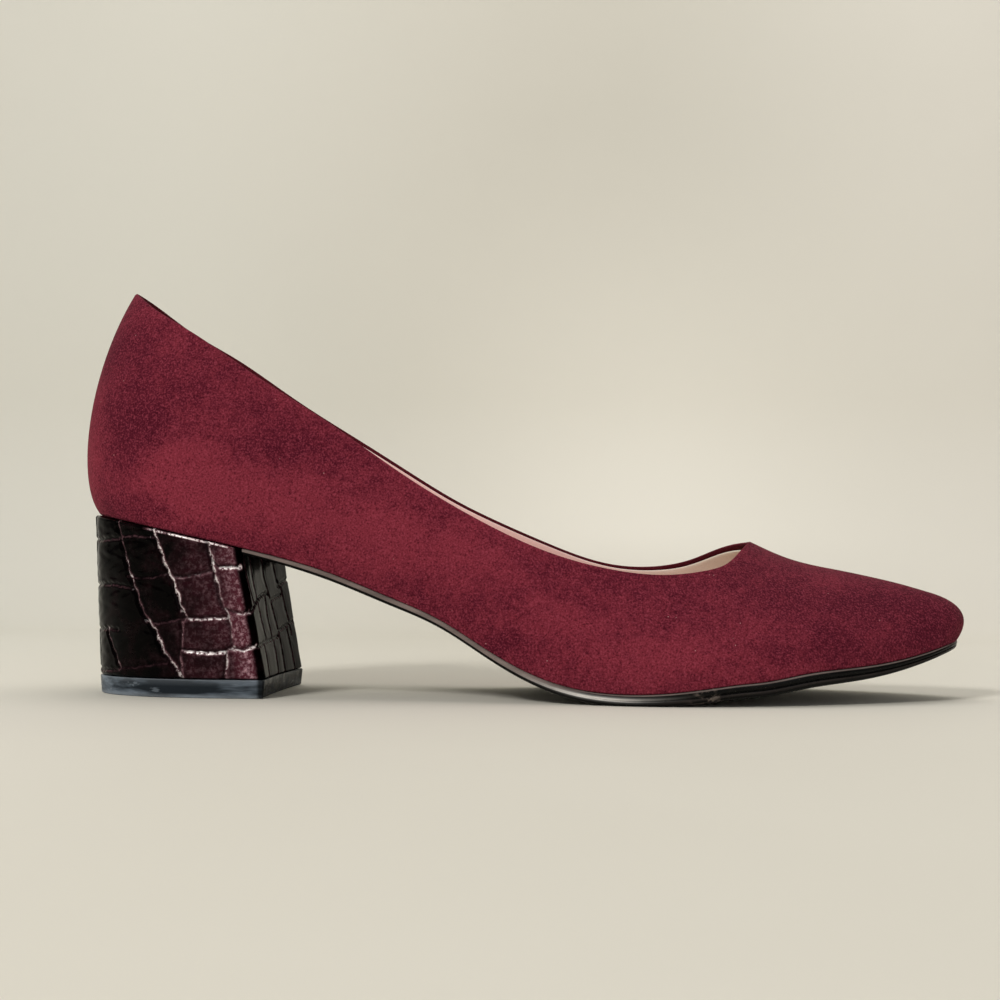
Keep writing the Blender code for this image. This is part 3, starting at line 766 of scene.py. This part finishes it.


# Soft lighter and darker patches on the outer side, partly the nap's own tone and partly painted light
# and shade, such as the darker toe tip and the soft dents of the vamp: middle along and up, half sizes,
# in metres, and how much lighter. They end towards the inner side, over a length.
PATCHES_END = 0.012
PATCHES_FADE = 0.02
Patch = namedtuple("Patch", "along up wide tall amount")
NAP_LIGHT_AND_SHADE_PATCHES = [Patch(*row) for row in (
    (0.034, 0.059, 0.009, 0.008, 0.40), (0.027, 0.052, 0.008, 0.004, -0.14),
    (0.050, 0.053, 0.028, 0.007, 0.19), (0.021, 0.087, 0.012, 0.012, -0.09),
    (0.030, 0.096, 0.008, 0.006, 0.05), (0.022, 0.073, 0.013, 0.007, -0.18),
    (0.060, 0.069, 0.015, 0.006, -0.12), (0.046, 0.082, 0.014, 0.010, -0.05),
    (0.004, 0.066, 0.007, 0.018, 0.16), (0.010, 0.100, 0.006, 0.008, -0.05),
    (0.014, 0.052, 0.008, 0.005, -0.10), (0.084, 0.048, 0.018, 0.007, 0.14),
    (0.096, 0.040, 0.022, 0.008, 0.14), (0.113, 0.036, 0.014, 0.010, 0.08),
    (0.066, 0.066, 0.016, 0.005, -0.12), (0.103, 0.046, 0.008, 0.004, -0.08),
    (0.020, 0.064, 0.010, 0.004, -0.06), (0.092, 0.052, 0.016, 0.004, -0.08),
    (0.124, 0.017, 0.006, 0.004, -0.12), (0.138, 0.020, 0.014, 0.006, 0.09),
    (0.162, 0.012, 0.018, 0.006, 0.14), (0.175, 0.027, 0.010, 0.006, 0.02),
    (0.196, 0.0282, 0.0085, 0.0045, -0.16), (0.186, 0.013, 0.008, 0.004, -0.06),
    (0.208, 0.015, 0.010, 0.005, -0.10), (0.207, 0.0330, 0.012, 0.0035, 0.08),
    (0.2205, 0.0272, 0.0100, 0.0024, -0.15), (0.213, 0.0245, 0.010, 0.004, -0.07),
    (0.236, 0.018, 0.012, 0.010, -0.18),
)]


def nap_light_and_shade_values(points):
    """Lightness of the nap and of painted light and shade at points, from the patches."""
    total = np.zeros(len(points))
    near = fade(PATCHES_END - points[:, 1], PATCHES_FADE)
    for patch in NAP_LIGHT_AND_SHADE_PATCHES:
        across = (points[:, 0] - patch.along) / patch.wide
        up = (points[:, 2] - patch.up) / patch.tall
        total += patch.amount * np.exp(-(across**2) - up**2)
    return total * near


def build_suede():
    grid, numbers, loop, normals = shell_grid(0.0, (FOLD_RADIUS, 0.0), SUEDE_SPACING, SUEDE_LEVELS)
    count, levels = grid.shape[:2]
    points = [grid.reshape(-1, 3)]
    faces = grid_faces(numbers, False)
    edge = grid[loop, -1]
    out, into = edge_frame(edge, normals)
    rings = fold_rings(edge, out, into, FOLD_RADIUS, -1, FOLD_CUTS)
    for share in BAND_SHARES:
        rings.append(edge - out * 2 * FOLD_RADIUS - into * BAND_LENGTH * share)
    add_rings(rings, numbers[loop, -1].tolist(), points, faces, True)
    total = count * levels + len(loop) * len(rings)
    bottom = grid[:, 0]
    inward = np.roll(bottom, 1, axis=0) - np.roll(bottom, -1, axis=0)
    inward = unit(np.stack([inward[:, 1], -inward[:, 0], np.zeros(count)], -1))
    tuck = bottom + inward * TUCK_WIDTH
    points.append(tuck)
    faces += strip(list(range(total, total + count)), numbers[:, 0].tolist())
    points = np.vstack(points)
    edge_value = np.zeros(len(points))
    band = count * levels + len(loop) * (FOLD_CUTS // 2)
    edge_value[band:total] = EDGE_SHADE
    values = {"nap_light_and_shade": nap_light_and_shade_values(points), "edge": edge_value}
    return add_mesh("upper_suede", points, faces, [suede_look()], values)


def build_lining():
    drops = (FOLD_RADIUS + LINING_DROP, THROAT_DROP)
    grid, numbers, loop, normals = shell_grid(LINING_DEPTH, drops, LINING_SPACING, LINING_LEVELS)
    points = [grid.reshape(-1, 3)]
    faces = grid_faces(numbers, True)
    edge = grid[loop, -1]
    out, into = edge_frame(edge, normals)
    lip = fold_rings(edge, out, into, LIP_RADIUS, 1, LIP_CUTS)
    add_rings(lip, numbers[loop, -1].tolist(), points, faces)
    points = np.vstack(points)
    return add_mesh("lining", points, faces, [lining_look()], {"forward": points[:, 0] / SHOE_LENGTH})


def build_sock():
    """Sock over the board, cupped to the wall, with its edge turned down."""
    inset = LINING_DEPTH + SOCK_GAP
    u = np.linspace(0.0, last.tip, SOCK_STATIONS)
    turn = np.array([0.0, 0.0, SOCK_TURN])
    sides = [last.foot(side) - last.outward(side) * inset for side in (u, last.girth - u)]
    rows = []
    for a, b in zip(*sides):
        share = np.linspace(0.0, 1.0, SOCK_STEPS + 1)[:, None]
        row = a * (1 - share) + b * share
        cup = np.abs(2 * share[:, 0] - 1) ** 6
        row[:, 2] += INSOLE_THICKNESS + SOCK_CUP * cup
        rows.append(np.vstack([a + turn, row, b + turn]))
    wide = SOCK_STEPS + 3
    faces = []
    for i in range(len(rows) - 1):
        for k in range(wide - 1):
            faces.append((i * wide + k, (i + 1) * wide + k, (i + 1) * wide + k + 1, i * wide + k + 1))
    return add_mesh("sock", np.vstack(rows), faces, [sock_look()])


# Sole

def build_sole():
    start = last.station_at(HEEL_REACH + CLEARANCE)
    outer = np.linspace(start, last.tip, int((last.tip - start) / SUEDE_SPACING))
    u = np.concatenate([outer, last.girth - outer[-2::-1]])
    along = [row.along for row in SOLE_ROWS]
    foot = last.foot(u)
    outward = last.outward(u)
    for end in (0, -1):
        outward[end] = (0.0, np.sign(foot[end, 1]), 0.0)
    share = foot[:, 0] / SHOE_LENGTH
    thickness = smooth_curve(along, [row.thickness for row in SOLE_ROWS])(share)
    stepped = np.clip(smooth_curve(along, [row.step for row in SOLE_ROWS])(share), 0.0, 1.0)
    rings = []
    for edge in EDGE_ROWS:
        outset = RAND_OUTSET * (edge.plain * (1 - stepped) + edge.stepped * stepped)
        outset = outset - TOE_TUCK * fade(share - TOE_TUCK_START, TOE_TUCK_FADE)
        ring = foot + outward * outset[:, None]
        ring[:, 2] = np.maximum(foot[:, 2] - CLEARANCE - edge.depth * thickness * BALL_SOLE, 0.0)
        rings.append(ring)
    rings.append(rings[-1] - outward * TREAD_WIDTH)
    count = len(u)
    faces = stack_faces(count, len(rings))
    for ring, flip in ((0, False), (len(rings) - 1, True)):
        low, high = ring * count, (ring + 1) * count - 1
        while high - low >= 2:
            if high - low == 2:
                face = (low, low + 1, high)
            else:
                face = (low, low + 1, high - 1, high)
            faces.append(face if flip else face[::-1])
            low, high = low + 1, high - 1
    points = np.vstack(rings)
    x = points[:, 0] / SHOE_LENGTH
    worn = bell(x, RUB_AT, RUB_REACH) * (points[:, 1] < 0)
    depth = np.concatenate([np.full(count, edge.depth) for edge in EDGE_ROWS] + [np.ones(count)])
    # Where the painted shine, the painted highlight lines and the painted glare lie on the edge.
    painted_shine = fade(SHINE_END - x, SHINE_FADE) * ((depth > SHINE_TOP) & (depth < SHINE_BOTTOM))
    rand_highlight = fade(x - RAND_START, START_FADE) * bell(depth, 0.0, LINE_TALL)
    groove = fade(x - GROOVE_START, START_FADE) * bell(depth, GROOVE_AT, LINE_TALL)
    painted_shine = np.maximum(painted_shine, np.maximum(rand_highlight, GROOVE_SHINE * groove))
    painted_glare = np.exp(-(((x - GLARE_AT) / GLARE_REACH) ** 2) - ((depth - GLARE_DEPTH) / GLARE_TALL) ** 4)
    tread = fade(x - RIBS_START, RIBS_FADE) * fade(RIBS_END - x, RIBS_FADE)
    tread[: (len(rings) - 1) * count] = 0.0
    values = {"worn": worn, "tread": tread, "painted_shine": painted_shine, "painted_glare": painted_glare}
    made = add_mesh("sole", points, faces, [sole_edge_look(), tread_look()], values)
    for number, face in enumerate(made.data.polygons):
        face.material_index = int(number >= (len(EDGE_ROWS) - 1) * count)
    made.data.set_sharp_from_angle(angle=0.9)
    return made


# Heel

def heel_outline(corner, spacing):
    """Even points round the heel's plan at the seat, from the middle of the back to the outer side,
    across the breast and back along the inner side; with the seat's height at each, and the length."""
    start = HEEL_REACH - corner
    end = float(last.station_at(start))
    side = np.linspace(0.0, end, SIDE_STEPS)
    plans = []
    heights = []
    for u in (side, last.girth - side[::-1]):
        foot = last.foot(u)
        plans.append(foot[:, :2] + last.outward(u)[:, :2] * HEEL_PROUD)
        heights.append(foot[:, 2])
    turn = np.linspace(0.0, np.pi / 2, CORNER_STEPS)[1:-1]
    dx, dy = corner * np.sin(turn), corner * (1 - np.cos(turn))
    outer_y, inner_y = plans[0][-1, 1], plans[1][0, 1]
    share = np.linspace(0.0, 1.0, BREAST_STEPS)
    y = (outer_y + corner) * (1 - share) + (inner_y - corner) * share
    front = np.vstack([
        np.stack([start + dx, outer_y + dy], -1),
        np.stack([HEEL_REACH - BREAST_HOLLOW * 4 * share * (1 - share), y], -1),
        np.stack([start + dx, inner_y - dy], -1)[::-1],
    ])
    plan = np.vstack([plans[0], front, plans[1]])
    height = np.concatenate([heights[0], last.seat_height(front[:, 0]), heights[1]])
    way = np.concatenate([[0.0], np.cumsum(np.linalg.norm(np.diff(plan, axis=0), axis=1))])
    count = int(way[-1] / spacing)
    even = np.arange(count) * way[-1] / count
    even_plan = np.stack([np.interp(even, way, plan[:, 0]), np.interp(even, way, plan[:, 1])], -1)
    return even_plan, np.interp(even, way, height), even, way[-1]


def at_heel_foot(plan):
    """Where plan points of the seat come to at the bottom of the block."""
    back = last.foot(np.array([0.0]))[0, 0] - HEEL_PROUD
    reach = HEEL_REACH - back
    foot_reach = reach + HEEL_BREAST_LEAN - HEEL_BACK_LEAN
    return np.stack([
        back + HEEL_BACK_LEAN + (plan[:, 0] - back) * foot_reach / reach,
        plan[:, 1] * HEEL_FOOT_SHARE,
    ], -1)


def plan_outward(plan):
    step = np.roll(plan, -1, axis=0) - np.roll(plan, 1, axis=0)
    return unit(np.stack([step[:, 1], -step[:, 0]], -1))


def all_grooves(length):
    """Charted grooves round the whole heel, the inner side's turned over from the outer side's."""
    found = OUTER_GROOVES + BACK_GROOVES + BREAST_GROOVES
    for groove in OUTER_GROOVES:
        points = tuple((length * 1000 - way, 1.0 - down) for way, down in groove.points)
        found.append(Groove(groove.strength, groove.width, groove.glint, points))
    return found


# Grooves of the cover: way round and way down of the walls that catch the light, how far the charted
# lines waver, how far off a groove still tells, where the painted highlight lies beside a groove and how
# wide it is, and how much wider if bright
LIT_SIDE = np.array([1.5, 0.8])
WAVER = 0.00012
GROOVE_REACH = 0.008
EDGE_BESIDE = 0.00048
EDGE_WIDTH = 0.00020
GLINT_WIDTH = 0.00022


def groove_depths(way, down, tall, length):
    """How deep in a groove each point is, how far the nearest groove is, and how bright the painted
    highlight on its edge is.
    """
    deepest = np.zeros(way.shape)
    bright = np.zeros(way.shape)
    nearest = np.full(way.shape, 1.0)
    wobble = WAVER * (np.sin(way * 2600 + down * 31) + np.sin(down * 57 + way * 1100))
    here = np.stack([way + wobble, down * tall + wobble[..., ::-1] * 0.6], -1)
    for groove in all_grooves(length):
        closest = np.full(way.shape, 1.0)
        facing = np.zeros(way.shape)
        for a, b in zip(groove.points, groove.points[1:]):
            for turn in (-length, 0.0, length):
                ends = []
                for point in (a, b):
                    at = point[0] / 1000
                    ends.append((at + turn, point[1] * np.interp(at % length, way[:, 0], tall[:, 0])))
                start, end = np.array(ends[0]), np.array(ends[1])
                reach = np.ptp([start[0], end[0]]) / 2 + GROOVE_REACH
                rows = np.abs(way[:, 0] - (start[0] + end[0]) / 2) < reach
                if not rows.any():
                    continue
                arm = end - start
                share = np.clip(((here[rows] - start) @ arm) / (arm @ arm), 0.0, 1.0)
                aside = here[rows] - start - share[..., None] * arm
                gap = np.linalg.norm(aside, axis=-1)
                lit = np.clip((aside @ LIT_SIDE) / (gap + TINY), 0.0, 1.0)
                facing[rows] = np.where(gap < closest[rows], lit, facing[rows])
                closest[rows] = np.minimum(closest[rows], gap)
        deepest = np.maximum(deepest, groove.strength * bell(closest, 0.0, groove.width))
        nearest = np.minimum(nearest, closest)
        edge = bell(closest, EDGE_BESIDE, EDGE_WIDTH + GLINT_WIDTH * groove.glint)
        bright = np.maximum(bright, groove.glint * edge * facing)
    return deepest, nearest, bright


# How red the cover is, by the way from the middle of the back in metres, past the breast corner: partly its
# own tone, partly painted sheen that grows towards the breast corner, with a painted highlight just before
# the corner and painted shade at the corner itself
COVER_TONE_AND_SHEEN = ((0.0, 0.0), (0.030, 0.02), (0.042, 0.08), (0.046, 0.26), (0.056, 0.40), (0.058, 0.72),
              (0.0614, 1.0), (0.0625, 0.0), (0.066, 0.06), (0.090, 0.06))

# Way from the middle of the back at which the breast starts
BREAST_START = 0.0622

# Relief of the cover: depth of its grooves, height of the lip beside them and its place and width,
# height of the scales' domes and how soon they rise, how far all of it lies inside the block, height
# of the ripple in the scales, and the rounding of the cover's ends with what is left of it
GROOVE_DEPTH = 0.00050
LIP_HEIGHT = 0.00007
LIP_BESIDE = 0.00095
LIP_WIDTH = 0.00045
DOME_HEIGHT = 0.00016
DOME_REACH = 0.0022
RELIEF_SINK = 0.0001
RIPPLE = 0.00005
END_ROUND = 0.0005
END_SHARE = 0.98
COVER_INNER = 0.86

# Painted highlight along the top of the cover: place, width, strength, where it ends and where it starts
LINE_DOWN = 0.0004
LINE_WIDTH = 0.00020
LINE_BRIGHT = 0.9
LINE_END = 0.0605
LINE_START = 0.036
LINE_FADE = 0.004


def build_cover():
    plan, seat, way, length = heel_outline(HEEL_CORNER, COVER_SPACING)
    top = np.column_stack([plan, seat - CLEARANCE])
    bottom = np.column_stack([at_heel_foot(plan), np.full(len(plan), LIFT_HEIGHT)])
    share = np.linspace(0.0, 1.0, COVER_LEVELS)
    grid = top[:, None, :] * (1 - share)[None, :, None] + bottom[:, None, :] * share[None, :, None]
    round_way = np.roll(grid, -1, axis=0) - np.roll(grid, 1, axis=0)
    down_way = np.gradient(grid, axis=1)
    outward = unit(np.cross(down_way, round_way))
    tall = np.linalg.norm(bottom - top, axis=1)[:, None] * np.ones(COVER_LEVELS)
    ways = way[:, None] * np.ones(COVER_LEVELS)
    downs = share[None, :] * np.ones((len(plan), 1))
    groove, nearest, bright = groove_depths(ways, downs, tall, length)
    lip = bell(nearest, LIP_BESIDE, LIP_WIDTH)
    dome = 1 - bell(nearest, 0.0, DOME_REACH)
    relief = -GROOVE_DEPTH * groove + LIP_HEIGHT * lip + DOME_HEIGHT * dome - RELIEF_SINK
    side_way = np.minimum(ways, length - ways)
    wave = np.sin(ways * 900 + np.sin(downs * 40) * 2) * np.sin(downs * 36 + ways * 300)
    relief += RIPPLE * wave * (side_way < BREAST_START)
    for gap in (downs * tall, (1 - downs) * tall):
        inside = np.clip(1 - gap / END_ROUND, 0.0, 1.0)
        relief -= END_ROUND * (1 - np.sqrt(1 - inside**2 * END_SHARE))
    grid = grid + outward * relief[..., None]
    count = len(plan)
    numbers = np.arange(count * COVER_LEVELS).reshape(count, COVER_LEVELS)
    faces = []
    for k in range(COVER_LEVELS - 1):
        faces += strip(numbers[:, k + 1].tolist(), numbers[:, k].tolist())
    points = [grid.reshape(-1, 3)]
    total = count * COVER_LEVELS
    middle = plan.mean(axis=0)
    for row, level, flip in ((grid[:, 0], 0, True), (grid[:, -1], COVER_LEVELS - 1, False)):
        inner = row.copy()
        inner[:, :2] = middle + (inner[:, :2] - middle) * COVER_INNER
        points.append(inner)
        faces += strip(list(range(total, total + count)), numbers[:, level].tolist(), flip=flip)
        total += count
    points = np.vstack(points)
    # Redness from the table of tone and painted sheen, highlight and shade, lighter towards the bottom.
    red = (0.7 + 0.3 * downs) * np.interp(side_way, *zip(*COVER_TONE_AND_SHEEN))
    # Painted highlight along the top of the cover, kept with the groove highlights.
    top_line = LINE_BRIGHT * bell(downs * tall, LINE_DOWN, LINE_WIDTH)
    top_line *= (side_way < LINE_END) * fade(side_way - LINE_START, LINE_FADE)
    values = {"groove": groove, "rim": np.maximum(bright, top_line), "red": red}
    values = {key: np.append(numbers, np.zeros(2 * count)) for key, numbers in values.items()}
    # The breast gets a shaded copy of the cover's material, with almost no reflection, which stands in for
    # shade on the breast.
    looks = [cover_look("heel_cover", 0.04, 0.00008), cover_look("heel_breast_shaded", 0.006, 0.000006)]
    made = add_mesh("heel_cover", points, faces, looks, values)
    breast = side_way[:, 0] > BREAST_START
    for number, face in enumerate(made.data.polygons):
        face.material_index = int(breast[number % count])
    return made


# Sections of the lift's edge: height, how far inside the outline, in metres, and how much pale edge is
# painted there, partly wear and partly painted highlight. Then how far behind its front the dark shade
# starts, and over what length it comes in.
LIFT_EDGE = ((0.00490, 0.0014, 0.0), (0.00490, 0.00030, 0.6), (0.00480, 0.00010, 1.0),
             (0.00460, 0.0, 0.3), (0.0030, 0.00012, 0.0), (0.0012, 0.00030, 0.0),
             (0.00030, LIFT_TAPER, 0.8), (0.00010, 0.0005, 1.0), (0.0, 0.0008, 0.3))
FRONT_SHADE = 0.0022
FRONT_FADE = 0.0010


def build_lift():
    plan = at_heel_foot(heel_outline(LIFT_CORNER, LIFT_SPACING)[0])
    outward = plan_outward(plan)
    count = len(plan)
    heights, insets, worn = zip(*LIFT_EDGE)
    points = [np.column_stack([plan - outward * inset, np.full(count, height)])
              for height, inset in zip(heights, insets)]
    faces = stack_faces(count, len(LIFT_EDGE))
    faces.append(tuple(range(count)))
    faces.append(tuple(range((len(LIFT_EDGE) - 1) * count, len(LIFT_EDGE) * count))[::-1])
    front = fade(plan[:, 0] - plan[:, 0].max() + FRONT_SHADE, FRONT_FADE)
    values = {"rim": np.repeat(worn, count), "front": np.tile(front, len(LIFT_EDGE))}
    made = add_mesh("lift", np.vstack(points), faces, [lift_look()], values)
    made.data.set_sharp_from_angle(angle=0.7)
    return made


PIECES = (
    (build_suede, "upper", "suede"),
    (build_lining, None, "sock"),
    (build_sole, "outsole", "sole"),
    (build_sock, "insole", "sock"),
    (build_cover, "heel_block", "heel_cover"),
    (build_lift, "top_lift", "lift"),
)
for build, node, slot in PIECES:
    piece = build()
    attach(piece, "root")
    if node is not None:
        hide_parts(node)


# Stage, light and camera

def build_stage():
    """Pale floor that curves up into a wall behind the shoe."""
    bend = [(0.42 + 0.16 * np.sin(a), 0.16 - 0.16 * np.cos(a)) for a in np.linspace(0, np.pi / 2, 24)]
    profile = [(-2.5, 0.0), (-0.5, 0.0), *bend, (0.58, 2.2)]
    points = [(x, y, z) for y, z in profile for x in (-2.5, 2.5)]
    faces = [(2 * k, 2 * k + 1, 2 * k + 3, 2 * k + 2) for k in range(len(profile) - 1)]
    look = Look("stage", Roughness=0.75, Specular_IOR_Level=0.2)
    place = look.add("ShaderNodeSeparateXYZ")
    look.feed(place.inputs[0], look.place)
    # Painted light and shade on the stage: darker in the middle, lighter out to the sides and to the right,
    # and a painted pool of light on the curve and wall behind the shoe; the mottle is its own tone.
    right = look.ramp(place.outputs[0], -0.15, 0.35)
    mottle = look.spread(look.noise(6, 3), 0.0, 0.25)
    sides = look.blend(right, (0.80, 0.785, 0.71), (0.90, 0.87, 0.79))
    away = look.ramp(look.math("ABSOLUTE", place.outputs[0]), 0.0, 0.30)
    pale = look.blend(away, (0.72, 0.695, 0.615), sides)
    beside = look.ramp(look.math("ABSOLUTE", look.sum(place.outputs[0], -0.08)), 0.0, 0.27, 1.0, 0.0)
    above = look.ramp(place.outputs[2], 0.08, 0.38, 1.0, 0.0)
    above = look.times(above, look.ramp(place.outputs[2], 0.005, 0.07))
    pale = look.blend(mottle, pale, (0.80, 0.775, 0.695))
    look.colour(look.blend(look.times(beside, above), pale, (0.95, 0.92, 0.83)))
    made = add_mesh("stage", np.array(points) - SHIFT - np.array([0, 0, 0.00005]), faces, [look.material])


def add_light(name, place, target, size, power, colour):
    lamp = bpy.data.lights.new(name, "AREA")
    lamp.shape = "RECTANGLE"
    lamp.size, lamp.size_y = size
    lamp.energy = power
    lamp.color = colour
    made = add_object(name, lamp)
    made.location = place
    made.rotation_euler = (Vector(target) - Vector(place)).to_track_quat("-Z", "Y").to_euler()


build_stage()
add_light("key", (-0.60, -0.95, 0.85), (0.0, 0.0, 0.04), (0.30, 0.30), 9.6, (1.0, 0.97, 0.93))
add_light("fill", (0.75, -1.1, 0.5), (0.0, 0.0, 0.04), (0.8, 0.8), 1.5, (0.95, 0.97, 1.0))
add_light("top", (0.05, 0.15, 1.1), (0.0, 0.0, 0.0), (0.8, 0.6), 4.0, (1.0, 0.98, 0.95))

world = bpy.data.worlds.new("studio")
world.use_nodes = True
sky = world.node_tree.nodes["Background"]
sky.inputs["Color"].default_value = (1.0, 0.98, 0.95, 1.0)
sky.inputs["Strength"].default_value = 0.20
bpy.context.scene.world = world
bpy.context.scene.view_settings.view_transform = "Standard"

# Camera: place in metres, turn, tilt and roll in radians, lens in millimetres on a 36 mm frame
CAMERA_PLACE = (0.017552, -0.40001, 0.03218)
CAMERA_YAW, CAMERA_PITCH, CAMERA_ROLL = -0.0574257, 0.0564531, 0.0063411
CAMERA_LENS = 50.65

level = np.cos(CAMERA_PITCH)
ahead = Vector((np.sin(CAMERA_YAW) * level, np.cos(CAMERA_YAW) * level, np.sin(CAMERA_PITCH)))
right = Vector((np.cos(CAMERA_YAW), -np.sin(CAMERA_YAW), 0.0))
up = right.cross(ahead)
side = right * np.cos(CAMERA_ROLL) + up * np.sin(CAMERA_ROLL)
head = up * np.cos(CAMERA_ROLL) - right * np.sin(CAMERA_ROLL)
lens = bpy.data.cameras.new("camera")
lens.lens = CAMERA_LENS
lens.sensor_width = 36.0
lens.clip_start = 0.01
camera = add_object("camera", lens)
turned = Matrix((side, head, -ahead)).transposed().to_4x4()
turned.translation = CAMERA_PLACE
camera.matrix_world = turned
bpy.context.scene.camera = camera
